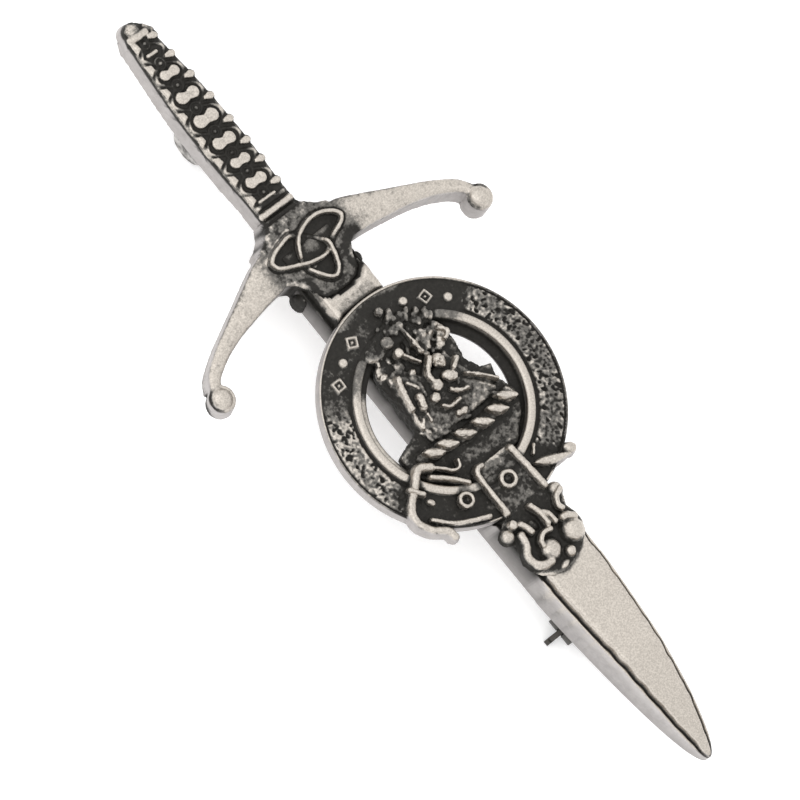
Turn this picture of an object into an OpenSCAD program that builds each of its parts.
// Kilt pin: a cast sword with a round belt badge on its blade and a safety pin behind.
// The front faces +Z, the pommel points to +Y, and the fittings stand on z = 0.

/* [Blade] */
// Length from the point to the top of the pommel
overall_len = 96; // [92:0.5:102]
// Length of the blade, from the point to the middle of the guard
blade_len = 67.2; // [64:0.2:70]
// Width of the blade
blade_w = 7.6; // [7:0.1:8.6]
// Length of the stretch that narrows to the point
point_len = 23.5; // [18:0.5:26]
// Height of the blade's raised face above the back
blade_t = 4.9; // [4.7:0.1:5.6]
// Width of the ledge on each side of the raised face
ledge_w = 0.5; // [0.3:0.05:0.8]

/* [Guard] */
// Width of the block in the middle of the guard
guard_w = 9.8; // [9:0.1:11]
// Height of the collar above the middle of the guard
collar_h = 4.2; // [3.6:0.1:4.8]
// Length of the tongue that lies on the blade, from the middle of the guard
tongue_len = 6.3; // [5.6:0.1:7.2]
// Thickness of the block
guard_t = 3.4; // [3:0.1:3.8]
// Distance from the middle to the centre of an end disc
quillon_reach = 18.3; // [16:0.1:21]
// Fall of the end discs below the middle of the guard
quillon_drop = 7.45; // [5:0.05:9]
// Width of an arm at its root
quillon_w = 4.6; // [3.8:0.1:5]
// Thickness of the arms
quillon_t = 3.2; // [2.6:0.1:3.3]
// Radius of an end disc
disc_r = 1.5; // [1.2:0.05:2]
// Thickness of an end disc
disc_t = 3.6; // [3.4:0.1:4.2]
// Width of the three-cornered knot
knot_w = 9.7; // [8:0.1:10.4]
// Height of the three-cornered knot
knot_h = 5.5; // [4.8:0.1:6]
// Width of a strand of the knot
strand_w = 0.5; // [0.35:0.05:0.7]

/* [Grip] */
// Width of the grip at its thickest place
grip_w = 4.9; // [4:0.1:5.4]
// Thickness of the grip under its ornament
grip_t = 2.8; // [2.4:0.1:3.2]
// Height of the grip's ornament
grip_relief = 0.5; // [0.3:0.05:0.8]
// Length of the pommel
pommel_len = 2.1; // [1.6:0.1:2.6]
// Width of the pommel
pommel_w = 3.3; // [2.8:0.1:3.8]

/* [Badge] */
// Distance from the middle of the guard to the centre of the badge
badge_drop = 21.8; // [20.6:0.1:23]
// Outer radius of the badge
badge_r = 13.4; // [12.8:0.1:14]
// Width of the belt, with its two rims
belt_w = 4.5; // [4:0.1:5]
// Width of each rim of the belt
rim_w = 0.8; // [0.5:0.05:1]
// Width of the thin lip inside the belt
lip_w = 0.95; // [0.7:0.05:1.2]
// Thickness of the thin lip
lip_t = 0.5; // [0.4:0.05:0.8]
// Thickness of the belt between its rims
belt_t = 1.45; // [1.2:0.05:1.8]
// Height of the rims above the belt
rim_h = 0.55; // [0.3:0.05:0.8]
// Thickness of the plate behind the figure
plate_t = 1.2; // [0.9:0.05:1.4]
// Height of the figure above its plate
figure_h = 1.8; // [1.4:0.1:2.2]
// Height of the blade's seat for the badge above the back
seat_h = 3.25; // [3:0.05:3.4]
// Radius of the two pegs behind the badge
peg_r = 0.75; // [0.5:0.05:0.9]
// Length of the two pegs
peg_len = 1.5; // [1:0.1:2]

/* [Pin and catch] */
// Height of the castings' back above the surface that the pin lies on
stand_off = 4.4; // [4.4:0.1:5]
// Distance from the top of the pommel to the hinge
hinge_inset = 13.7; // [11:0.1:15]
// Distance from the point of the blade to the middle of the catch
catch_inset = 19.6; // [17:0.1:23]
// Diameter of the pin stem
stem_d = 1; // [0.8:0.05:1.1]
// Length of the stem beyond the middle of the catch
stem_past_catch = 2.9; // [2.2:0.1:4]
// Length of the stem's sharpened end
stem_point_len = 3; // [2:0.1:5]
// Diameter of the hinge rivet
rivet_d = 1; // [0.8:0.05:1.2]
// Width of the stem's eye between the ears
eye_w = 1.5; // [1.3:0.1:1.9]
// Thickness of an ear
ear_w = 0.7; // [0.6:0.05:0.9]
// Thickness of the hinge's base plate
foot_t = 0.7; // [0.5:0.05:0.8]
// Length of the hinge's base plate
foot_len = 4.4; // [4:0.1:5.4]
// Length of the catch's housing
catch_len = 3.2; // [2.6:0.1:4]
// Thickness of metal between the catch's bore and its back
catch_roof = 0.54; // [0.45:0.01:0.6]
// Wall of the catch's housing around its bore
catch_wall = 1.15; // [1:0.05:1.2]
// Width of the catch's mouth
mouth_w = 2.2; // [1.9:0.05:2.4]
// Wall of the turning sleeve
sleeve_wall = 0.9; // [0.8:0.05:1]
// Thickness of the sleeve's thumb tab
tab_t = 0.6; // [0.4:0.05:0.8]
// Length of the tab from the axis to the centre of its round end
tab_len = 4.2; // [3.8:0.05:4.3]
// Radius of the tab's round end
tab_r = 0.4; // [0.3:0.05:0.45]
// Angle of the tab from straight down, with the catch open
tab_angle = 68; // [67:1:70]

/* [Clearances] */
// Gap between pieces that are seated on each other
seat_gap = 0.05; // [0.03:0.01:0.08]
// Gap around pieces that turn
run_gap = 0.05; // [0.03:0.01:0.08]

/* [Hidden] */
$fn = 48;

tip_y = -overall_len / 2;
guard_y = tip_y + blade_len;
badge_y = guard_y - badge_drop;
hinge_y = overall_len / 2 - hinge_inset;
catch_y = tip_y + catch_inset;

sleeve_bore_r = stem_d / 2 + 0.3;
sleeve_r = sleeve_bore_r + sleeve_wall;
catch_bore_r = sleeve_r + run_gap;
axis_h = stand_off - seat_gap - catch_roof - catch_bore_r;
catch_r = catch_bore_r + catch_wall;
eye_r = stand_off - seat_gap - foot_t - axis_h - 2 * run_gap;
ear_gap = eye_w / 2 + run_gap;
hinge_w = 2 * (ear_gap + ear_w);
stud_r = 0.6;
stud_len = 1.2;

badge_z = seat_h + seat_gap;
plate_z = badge_z + plate_t;
belt_z = badge_z + belt_t;
relief_z = badge_z + 0.2;
figure_z = plate_z + figure_h;
chape_z = blade_t + seat_gap;
field_r = badge_r - belt_w;
peg_y = badge_r - belt_w / 2 - 0.35;

// Height of the blade's edge wall and of its raised face, from the point to the guard
// columns: share of blade_len, edge wall as a share of blade_t, face as a share of blade_t
BLADE_SIDE = [
    [0.00, 0.20, 0.24],
    [0.03, 0.39, 0.49],
    [0.10, 0.65, 0.78],
    [0.19, 0.84, 1.00],
    [0.46, 0.84, 1.00],
    [0.60, 0.55, 0.90],
    [1.00, 0.55, 0.88],
];
// Shares of point_len at which the narrowing outline has a corner
POINT_STEPS = [0, 0.15, 0.3, 0.45, 0.58, 0.7, 0.8, 0.88, 0.94, 0.98, 1];

// Centre-line of an arm: share of quillon_reach, of quillon_drop and of quillon_w
QUILLON = [
    [0.18, 0.02, 0.95],
    [0.27, 0.065, 0.93],
    [0.41, 0.155, 0.75],
    [0.55, 0.265, 0.58],
    [0.69, 0.38, 0.44],
    [0.82, 0.515, 0.36],
    [0.935, 0.685, 0.32],
    [0.99, 0.85, 0.28],
];
// Profile of an end disc: share of disc_r, share of disc_t
DISC = [
    [0, 0], [1, 0], [1, 0.96], [0.88, 1], [0.76, 1],
    [0.7, 0.9], [0.55, 0.9], [0.46, 0.99], [0, 1.02],
];
// Outline of the block above the middle of the guard: share of guard_w / 2, share of collar_h
COLLAR = [[0.47, 1], [0.61, 0.76], [0.82, 0.57], [1, 0.48]];
// Outline of the block and tongue below it: share of guard_w / 2, share of tongue_len
TONGUE = [[1, -0.41], [0.8, -0.49], [0.65, -0.67], [0.61, -0.83], [0.45, -0.95], [0.2, -1]];

// Half width of the grip: share of its length from the guard, share of grip_w / 2
GRIP = [
    [0, 0.93], [0.11, 0.91], [0.24, 0.98], [0.42, 1],
    [0.6, 0.96], [0.74, 0.87], [0.87, 0.76], [1, 0.65],
];
// Places of the beads down the grip: share of its length
BEADS = [0.107, 0.228, 0.336, 0.46, 0.597, 0.73, 0.857, 0.973];
// Half outline of a link between two beads: x, y as shares of its half width
LINK = [[0.3, 0.3], [0.6, 0.55], [0.9, 0.45], [1, 0.1], [1, -0.2], [0.9, -0.4], [0.6, -0.5], [0.3, -0.3]];
link_w = 2.5;
bead_r = 0.6;
// Rings at the foot of the grip: distance from the foot, half length as a share of grip_w / 2
FERRULE = [[0.3, 0.85], [1.2, 0.75]];
// Outline of the pommel: share of pommel_len, share of pommel_w / 2
POMMEL = [[0, 1], [0.35, 0.85], [0.6, 0.68], [0.8, 0.46], [0.95, 0.25], [1, 0.1]];

// The badge's tables below are drawn in hundredths of field_r from the badge's centre.
// Outline of the plate behind the figure
PLATE = [
    [-22, 94], [-34, 84], [-44, 70], [-47, 56], [-45, 37], [-46, 21], [-43, 5], [-51, -9],
    [-66, -14], [-84, -20], [-84, -40], [-77, -60], [-45, -88], [0, -97], [45, -88], [76, -60],
    [83, -38], [78, -24], [74, -16], [80, 2], [67, 6], [57, 26], [61, 42], [62, 56], [66, 68],
    [50, 84], [22, 94],
];
// Outline of the figure's chest and bag
CHEST = [
    [-30, 58], [-40, 40], [-41, 20], [-39, -4], [-30, -28],
    [50, -28], [60, -12], [46, 20], [40, 48], [8, 36],
];
// Outline of the pipes and plumes where they lie over the belt's inner rim
CREST = [
    [-36, 84], [-46, 92], [-40, 101], [-16, 110], [6, 116], [30, 110], [52, 96], [58, 84], [20, 84],
];
// Round forms of the figure: x, y, radius, height as a share of figure_h
FIGURE_ROUNDS = [
    [36, 68, 17, 0.50],
    [25, 41, 10, 1.00],
    [22.5, 20, 8, 1.00],
    [3, 20.5, 7, 0.95],
    [-8, 10, 6.5, 0.90],
    [-11.4, 93.6, 8, 0.80],
    [-9, 76.5, 6, 0.85],
    [12.5, 101, 5, 0.85],
    [13, 111, 4.5, 0.70],
    [5, 127.5, 5, 0.75],
    [3, -20.5, 4.5, 0.80],
    [11, -21.5, 4.5, 0.80],
];
// Long forms of the figure: width, height as a share of figure_h, centre-line
FIGURE_BARS = [
    [5, 0.75, [[-9, 76], [6.3, 53]]],
    [5, 0.80, [[12.5, 101], [14.6, 74], [16, 60]]],
    [9, 0.90, [[17.5, 51.4], [10, 44], [2.8, 36.6], [2.5, 28], [3, 20.6]]],
    [9, 0.85, [[44.5, 32], [32.6, 24]]],
    [10, 0.85, [[-30, 54.6], [-34.5, 42], [-38, 28], [-40, 16]]],
    [8, 0.50, [[-40, 14], [-42, 2], [-42, -8]]],
    [11, 0.85, [[-22.2, 23.2], [-26.8, 9.3]]],
    [6, 0.85, [[-7.4, -1.8], [-1, -8], [6, -8.5], [15.5, -8]]],
    [6, 0.85, [[13.6, 7], [20.9, 0], [32.5, -3.8]]],
    [6, 0.95, [[40, 11], [52, 0], [68, -17]]],
    [9, 0.45, [[34, 6], [46, -4], [58, -16]]],
    [7, 0.90, [[49, 72], [54.5, 65], [54, 60], [46.6, 57]]],
];
// Centre-line and width of the twisted wreath under the figure
WREATH = [[-66, -37], [-34, -40], [0, -44], [35, -44], [72, -36]];
wreath_w = 18;
wreath_h = 0.5;
// Middle of each twist of the wreath
TWISTS = [[-53, -38.6], [-33, -40.4], [-8, -43], [18, -45], [43, -44], [62, -38.4]];
// Half a twist, from its middle to its end, and a twist's width
TWIST_ARM = [10, -8.5];
twist_w = 13;
// Places of the belt's raised ornament: number, angle of the first, step between two
ornament_count = 8;
ornament_start = 135;
ornament_step = -12.6;

// Bars on the lower belt, the buckle and the strap end: width, top as a share of figure_h, centre-line
STRAP_BARS = [
    [10.5, 0.80, [[26, -87.3], [28.6, -117], [30.7, -147.4]]],
    [9, 0.80, [[-15, -84], [-22.3, -83.6], [-26.9, -90.2], [-28, -106.3], [-28, -126], [-28, -147]]],
    [11, 0.85, [
        [-65.7, -49.7], [-77.4, -42], [-85.3, -44.3], [-95, -53], [-104, -60.5],
        [-114, -68.8], [-121.5, -79.3], [-122.2, -93.6], [-113.3, -108], [-99.4, -119.3], [-97.7, -128.5],
    ]],
    [8, 1.00, [[-107, -54], [-95.7, -69.4]]],
    [8, 0.70, [[-74.4, -57.2], [-56.5, -72.4], [-40, -90.5]]],
    [6, 0.80, [[-66, -50], [-56, -59], [-47, -68], [-38.5, -69], [-34.5, -61]]],
    [8, 0.60, [[-105.6, -96.9], [-88.6, -114.3], [-66.9, -126.3], [-44.8, -135.6]]],
    [11, 0.80, [[38.3, -120], [56.5, -127.6], [77.3, -137], [86, -133]]],
];
// Round forms there: x, y, radius, top as a share of figure_h
STRAP_ROUNDS = [
    [-97.7, -128.5, 7, 0.80],
    [-92, -81, 6.5, 0.50],
    [86, -131, 7, 0.60],
];
// Outline of the strap that hangs through the buckle
STRAP = [[-27, -83], [28, -83], [28, -148], [-27, -148]];
strap_top = 0.35;
// Eyelets: x, y, outer radius, hole radius
EYELETS = [[-1, -115, 11.5, 5.5], [-58.4, -104, 10, 5]];
eyelet_top = 0.85;
// Half outline of the chape that covers the end of the strap
CHAPE = [
    [28, -140], [43, -158], [41, -167], [34, -178], [34, -190],
    [39, -205], [38, -222], [25, -235], [6, -239],
];
chape_t = 0.55;
// Round forms of the chape: x, y, radius, height as a share of figure_h above the blade
CHAPE_ROUNDS = [
    [23.6, -208.7, 13, 0.80],
    [-17, -208.6, 12.5, 0.75],
    [3.8, -224, 7, 0.65],
    [-44.5, -163.6, 8.5, 0.70],
    [-33, -159, 6, 0.80],
];
// Long forms of the chape: width, height as a share of figure_h above the blade, centre-line
CHAPE_BARS = [
    [7.5, 0.80, [[0.5, -155], [2.6, -167.4], [-1, -182.7]]],
    [7.5, 0.80, [[2.6, -167.4], [9.4, -174.4], [6.2, -188]]],
    [8, 0.70, [[-23, -163.5], [-20.6, -179]]],
    [7, 0.75, [[-3, -192], [-13, -187], [-21.7, -190], [-24.6, -196]]],
    [10, 0.60, [[-38.8, -171.8], [-36, -187.5], [-43.9, -199.8], [-39.8, -213.7], [-28.4, -224]]],
    [8, 0.75, [[41, -160], [31.7, -164], [26, -173.7], [28, -180]]],
    [10, 0.75, [[18, -189], [27.4, -190.7], [35, -197]]],
];

function reversed(list) = [for (i = [len(list) - 1:-1:0]) list[i]];
function mirrored(half) = concat(half, [for (p = reversed(half)) [-p[0], p[1]]]);
function scaled(list, sx, sy) = [for (p = list) [p[0] * sx, p[1] * sy]];
function unit(v) = v / norm(v);
function left_of(v) = [-v[1], v[0]];
function tangent(path, i) = unit(path[min(i + 1, len(path) - 1)] - path[max(i - 1, 0)]);
function edge(path, widths, side) =
    [for (i = [0:len(path) - 1]) path[i] + left_of(tangent(path, i)) * widths[i] * side / 2];
function strip(path, widths) = concat(edge(path, widths, 1), reversed(edge(path, widths, -1)));
function even(path, width) = [for (p = path) width];

// A raised bar along a centre-line, narrower on top
module bar(path, width, bottom, top) {
    shoulder = top - 0.3 * width;
    translate([0, 0, bottom])
        linear_extrude(shoulder - bottom)
            polygon(strip(path, even(path, width)));
    translate([0, 0, shoulder - 0.1])
        linear_extrude(top - shoulder + 0.1)
            polygon(strip(path, even(path, 0.55 * width)));
}

// A raised round form with a domed top
module round_form(place, r, bottom, top) {
    dome = min(0.6 * r, 0.6 * (top - bottom));
    translate([place[0], place[1], bottom])
        rotate_extrude()
            polygon([
                [0, 0], [r, 0], [r, top - bottom - dome], [0.85 * r, top - bottom - 0.5 * dome],
                [0.5 * r, top - bottom - 0.12 * dome], [0, top - bottom],
            ]);
}

// Outline of the blade, drawn in by an inset
module blade_outline(inset, top_y) {
    foot_y = tip_y + 2 * inset;
    half = 0.96 * blade_w / 2 - inset;
    polygon(mirrored(concat(
        [[blade_w / 2 - inset, top_y], [blade_w / 2 - inset, tip_y + 0.65 * blade_len]],
        [for (t = POINT_STEPS) [
            half * sqrt(1 - pow(t, 1.15)) + 0.05,
            foot_y + (point_len - 2 * inset) * (1 - t),
        ]]
    )));
}

// One layer of the blade: its outline, cut to the heights in a column of BLADE_SIDE
module blade_layer(inset, top_y, column) {
    top = [for (s = BLADE_SIDE) [tip_y + s[0] * blade_len, s[column] * blade_t]];
    intersection() {
        linear_extrude(2 * blade_t)
            blade_outline(inset, top_y);
        rotate([90, 0, 90])
            linear_extrude(2 * blade_w, center = true)
                polygon(concat([[tip_y - 1, 0]], [[tip_y - 1, top[0][1]]], top, [[guard_y, 0]]));
    }
}

module guard_outline() {
    polygon(mirrored(concat(
        scaled(COLLAR, guard_w / 2, collar_h),
        scaled(TONGUE, guard_w / 2, tongue_len)
    )));
}

module blade() {
    blade_layer(0, guard_y, 1);
    difference() {
        blade_layer(ledge_w, guard_y - 0.4 * tongue_len, 2);
        translate([0, guard_y, -1])
            linear_extrude(2 * blade_t)
                scale(1.07)
                    guard_outline();
    }
}

knot_arcs = 3;

// One arc of the knot, from corner to corner around the middle
module knot_arc(turn) {
    arc = [for (a = [-90:15:90]) [
        (0.5 * cos(turn) - 0.866 * cos(turn + a)) * knot_w / 1.732,
        (0.5 * sin(turn) - 0.866 * sin(turn + a)) * knot_h / 1.616,
    ]];
    translate([0, guard_y - 0.25 * tongue_len, 0])
        bar(arc, strand_w, guard_t - 0.2, guard_t + 0.85);
}

module arm(side) {
    path = [for (q = QUILLON) [side * q[0] * quillon_reach, guard_y - q[1] * quillon_drop]];
    linear_extrude(quillon_t)
        polygon(strip(path, [for (q = QUILLON) q[2] * quillon_w]));
    translate([side * quillon_reach, guard_y - quillon_drop, 0])
        rotate_extrude()
            polygon(scaled(DISC, disc_r, disc_t));
}

module guard() {
    translate([0, guard_y, 0])
        linear_extrude(guard_t)
            guard_outline();
    for (side = [-1, 1])
        arm(side);
    for (turn = [90:360 / knot_arcs:360 + 89])
        knot_arc(turn);
}

grip_foot = guard_y + collar_h;
pommel_foot = overall_len / 2 - pommel_len;
grip_len = pommel_foot - grip_foot;
bead_h = grip_t + grip_relief;
function grip_half(y) = lookup((y - grip_foot) / grip_len, GRIP) * grip_w / 2;
function bead_y(i) = grip_foot + BEADS[i] * grip_len;

// How deep raised forms are rooted in the grip
relief_root = 0.3;
// A leaf's distance from the grip's edge, its half length and its width
leaf_inset = 0.55;
leaf_arm = 0.7;
leaf_w = 0.85;

// A bead with a leaf on each side of it
module bead_row(y) {
    round_form([0, y], bead_r, grip_t - relief_root, bead_h);
    for (side = [-1, 1]) {
        x = side * (grip_half(y) - leaf_inset);
        leaf = [[x + side * 0.1, y + leaf_arm], [x + side * 0.12, y], [x - side * 0.1, y - leaf_arm]];
        bar(leaf, leaf_w, grip_t - relief_root, bead_h);
    }
}

// A link between two rows of beads, waisted in the middle
module link(y) {
    half = link_w / 2 * grip_half(y) / (grip_w / 2);
    translate([0, y, grip_t - relief_root])
        linear_extrude(grip_relief + 0.2)
            polygon(mirrored(LINK * half));
}

module grip() {
    linear_extrude(grip_t)
        polygon(mirrored(concat(
            [[grip_half(grip_foot), grip_foot - 1]],
            [for (g = GRIP) [g[1] * grip_w / 2, grip_foot + g[0] * grip_len]],
            [[pommel_w / 2 - 0.3, pommel_foot + 0.3]]
        )));
    for (i = [0:len(BEADS) - 1])
        bead_row(bead_y(i));
    for (i = [0:len(BEADS) - 2])
        link((bead_y(i) + bead_y(i + 1)) / 2);
    for (ring = FERRULE) {
        y = grip_foot + ring[0];
        half = ring[1] * grip_w / 2;
        bar([[-half, y], [half, y]], 0.55, grip_t - 0.3, bead_h);
    }
}

module pommel() {
    linear_extrude(grip_t - 0.1)
        polygon(mirrored([for (p = POMMEL) [p[1] * pommel_w / 2, pommel_foot + p[0] * pommel_len]]));
    half = 0.33 * pommel_w;
    y = pommel_foot + 0.5;
    bar([[-half, y], [half, y]], 0.7, grip_t - 0.4, bead_h);
    round_form([0, pommel_foot + 0.68 * pommel_len], 0.3 * pommel_w / 2 + 0.1, grip_t - 0.4, grip_t + 0.25);
}

// Blind hole in a back for the stud of a fitting
module stud_hole(y) {
    translate([0, y, -1])
        cylinder(h = 1 + stud_len + seat_gap, r = stud_r + seat_gap);
}

module sword() {
    color("silver")
        translate([0, 0, stand_off])
            difference() {
                union() {
                    blade();
                    guard();
                    grip();
                    pommel();
                }
                translate([0, badge_y, seat_h])
                    cylinder(h = 2 * blade_t, r = badge_r + 2 * seat_gap);
                for (side = [-1, 1])
                    translate([0, badge_y + side * peg_y, seat_h - peg_len - seat_gap])
                        cylinder(h = 2 * peg_len, r = peg_r + seat_gap);
                stud_hole(hinge_y);
                stud_hole(catch_y);
            }
}

// The round belt with its rims and inner lip
module belt() {
    in_r = field_r;
    rim_z = belt_z + rim_h;
    rotate_extrude($fn = 96)
        polygon([
            [in_r - lip_w, badge_z], [badge_r, badge_z], [badge_r, rim_z - 0.3], [badge_r - 0.2, rim_z],
            [badge_r - 0.4, rim_z - 0.1], [badge_r - 0.6, belt_z],
            [in_r + rim_w + 0.15, belt_z], [in_r + rim_w, rim_z - 0.15], [in_r + rim_w / 2, rim_z],
            [in_r + 0.1, rim_z - 0.15], [in_r, badge_z + lip_t], [in_r - lip_w, badge_z + lip_t],
        ]);
}

module lozenge(r, top) {
    translate([0, 0, relief_z])
        linear_extrude(top - relief_z)
            difference() {
                circle(r, $fn = 4);
                circle(0.5 * r, $fn = 4);
            }
}

// Lozenges and beads in turn along the top of the belt, with the middle left to the pipe
module ornament() {
    middle_r = field_r + belt_w / 2;
    for (i = [0:ornament_count - 1])
        if (abs(ornament_start + i * ornament_step - 90) > ornament_step / -2 + 1)
            rotate(ornament_start + i * ornament_step)
                translate([middle_r, 0, 0])
                    if (i % 2 == 0)
                        lozenge(0.22 * belt_w, belt_z + 0.4);
                    else
                        round_form([0, 0], 0.13 * belt_w, relief_z, belt_z + 0.5);
}

module figure() {
    f = field_r / 100;
    translate([0, 0, badge_z])
        linear_extrude(plate_t)
            polygon(PLATE * f);
    translate([0, 0, relief_z])
        linear_extrude(plate_z + 0.35 * figure_h - relief_z)
            polygon(CHEST * f);
    translate([0, 0, relief_z])
        linear_extrude(belt_z + 0.3 - relief_z)
            polygon(CREST * f);
    for (form = FIGURE_ROUNDS)
        round_form([form[0], form[1]] * f, form[2] * f, relief_z, plate_z + form[3] * figure_h);
    for (form = FIGURE_BARS)
        bar(form[2] * f, form[0] * f, relief_z, plate_z + form[1] * figure_h);
}

module wreath() {
    f = field_r / 100;
    bar(WREATH * f, wreath_w * f, relief_z, plate_z + wreath_h * figure_h);
    for (place = TWISTS)
        bar([place - TWIST_ARM, place + TWIST_ARM] * f, twist_w * f, relief_z, figure_z + 0.1);
}

// The strap that hangs through the buckle, the buckle and the bar opposite
module straps() {
    f = field_r / 100;
    strap_z = plate_z + strap_top * figure_h;
    translate([0, 0, relief_z])
        linear_extrude(strap_z - relief_z)
            polygon(STRAP * f);
    for (form = STRAP_BARS)
        bar(form[2] * f, form[0] * f, relief_z, plate_z + form[1] * figure_h);
    for (form = STRAP_ROUNDS)
        round_form([form[0], form[1]] * f, form[2] * f, relief_z, plate_z + form[3] * figure_h);
    for (e = EYELETS)
        translate([e[0] * f, e[1] * f, relief_z])
            difference() {
                cylinder(h = plate_z + eyelet_top * figure_h - relief_z, r = e[2] * f);
                translate([0, 0, belt_z - relief_z])
                    cylinder(h = figure_z, r = e[3] * f);
            }
}

module chape() {
    f = field_r / 100;
    translate([0, 0, chape_z])
        linear_extrude(chape_t)
            polygon(mirrored(CHAPE * f));
    for (form = CHAPE_ROUNDS)
        round_form([form[0], form[1]] * f, form[2] * f, chape_z, chape_z + form[3] * figure_h);
    for (form = CHAPE_BARS)
        bar(form[2] * f, form[0] * f, chape_z, chape_z + form[1] * figure_h);
}

module belt_badge() {
    color("gainsboro")
        translate([0, badge_y, stand_off]) {
            belt();
            ornament();
            figure();
            wreath();
            straps();
            chape();
            for (side = [-1, 1])
                translate([0, side * peg_y, badge_z - peg_len])
                    cylinder(h = peg_len + 0.3, r = peg_r);
        }
}

// Two ears on a base plate that is studded into the grip
module hinge_base() {
    top = stand_off - seat_gap;
    color("darkgray") {
        difference() {
            for (side = [-1, 1])
                translate([side * (ear_gap + ear_w / 2), hinge_y, 0])
                    rotate([90, 0, 90])
                        linear_extrude(ear_w, center = true) {
                            translate([0, axis_h])
                                circle(axis_h);
                            translate([-0.8 * axis_h, axis_h])
                                square([1.6 * axis_h, top - axis_h - foot_t / 2]);
                        }
            translate([0, hinge_y, axis_h])
                rotate([0, 90, 0])
                    cylinder(h = 2 * hinge_w, r = rivet_d / 2 + run_gap / 2, center = true);
        }
        translate([-hinge_w / 2, hinge_y - foot_len / 2, top - foot_t])
            cube([hinge_w, foot_len, foot_t]);
        translate([0, hinge_y, top - 0.1])
            cylinder(h = stud_len + 0.1, r = stud_r);
    }
}

module hinge_rivet() {
    half = hinge_w / 2 + run_gap / 2;
    head = 0.2;
    head_r = rivet_d / 2 + 0.25;
    color("gray")
        translate([0, hinge_y, axis_h])
            rotate([0, 90, 0])
                rotate_extrude()
                    polygon([
                        [0, -half - head], [0.7 * head_r, -half - head],
                        [head_r, -half - head / 2], [head_r, -half],
                        [rivet_d / 2, -half], [rivet_d / 2, half],
                        [head_r, half], [head_r, half + head / 2],
                        [0.7 * head_r, half + head], [0, half + head],
                    ]);
}

module pin_stem() {
    reach = hinge_y - catch_y + stem_past_catch;
    r = stem_d / 2;
    color("lightgray")
        translate([0, hinge_y, axis_h])
            difference() {
                union() {
                    rotate([0, 90, 0])
                        cylinder(h = eye_w, r = eye_r, center = true);
                    rotate([90, 0, 0])
                        rotate_extrude()
                            polygon([
                                [0, 0], [r, 0], [r, reach - stem_point_len],
                                [0.8 * r, reach - 0.6 * stem_point_len], [0.15 * r, reach], [0, reach],
                            ]);
                }
                rotate([0, 90, 0])
                    cylinder(h = 2 * eye_w, r = rivet_d / 2 + run_gap, center = true);
            }
}

// A round housing with its mouth open to the floor and a slot for the tab, studded into the blade
module catch_housing() {
    top = stand_off - seat_gap;
    slot_h = 2 * (catch_r * cos(tab_angle) + tab_r + 4 * run_gap);
    color("darkgray") {
        difference() {
            translate([0, catch_y, 0])
                rotate([90, 0, 0])
                    linear_extrude(catch_len, center = true)
                        difference() {
                            union() {
                                translate([0, axis_h])
                                    circle(catch_r);
                                translate([-0.85 * catch_r, top - 1.2])
                                    square([1.7 * catch_r, 1.2]);
                            }
                            translate([0, axis_h])
                                circle(catch_bore_r);
                            translate([-mouth_w / 2, -1])
                                square([mouth_w, axis_h + 1]);
                            translate([-2 * catch_r, -catch_r])
                                square([4 * catch_r, catch_r]);
                            translate([-2 * catch_r, top])
                                square([4 * catch_r, catch_r]);
                        }
            translate([-2 * catch_r, catch_y - tab_t / 2 - 2 * run_gap, axis_h - slot_h / 2])
                cube([2 * catch_r - 0.6 * catch_bore_r, tab_t + 4 * run_gap, slot_h]);
        }
        translate([0, catch_y, top - 0.1])
            cylinder(h = stud_len + 0.1, r = stud_r);
    }
}

// A slotted sleeve that turns in the housing, with a thumb tab that leaves through the housing's slot
module catch_sleeve() {
    slot_w = stem_d + 0.36;
    tab_root = sleeve_bore_r + 0.4 * sleeve_wall;
    color("gray")
        translate([0, catch_y, axis_h])
            rotate([90, 0, 0])
                difference() {
                    union() {
                        cylinder(h = catch_len, r = sleeve_r, center = true);
                        rotate(-90 - tab_angle)
                            linear_extrude(tab_t, center = true) {
                                translate([tab_root, -0.8 * tab_r])
                                    square([tab_len - tab_root, 1.6 * tab_r]);
                                translate([tab_len, 0])
                                    circle(tab_r);
                            }
                    }
                    cylinder(h = 2 * catch_len, r = sleeve_bore_r, center = true);
                    translate([-slot_w / 2, -2 * catch_r, -catch_len])
                        cube([slot_w, 2 * catch_r, 2 * catch_len]);
                }
}

sword();
belt_badge();
hinge_base();
hinge_rivet();
pin_stem();
catch_housing();
catch_sleeve();
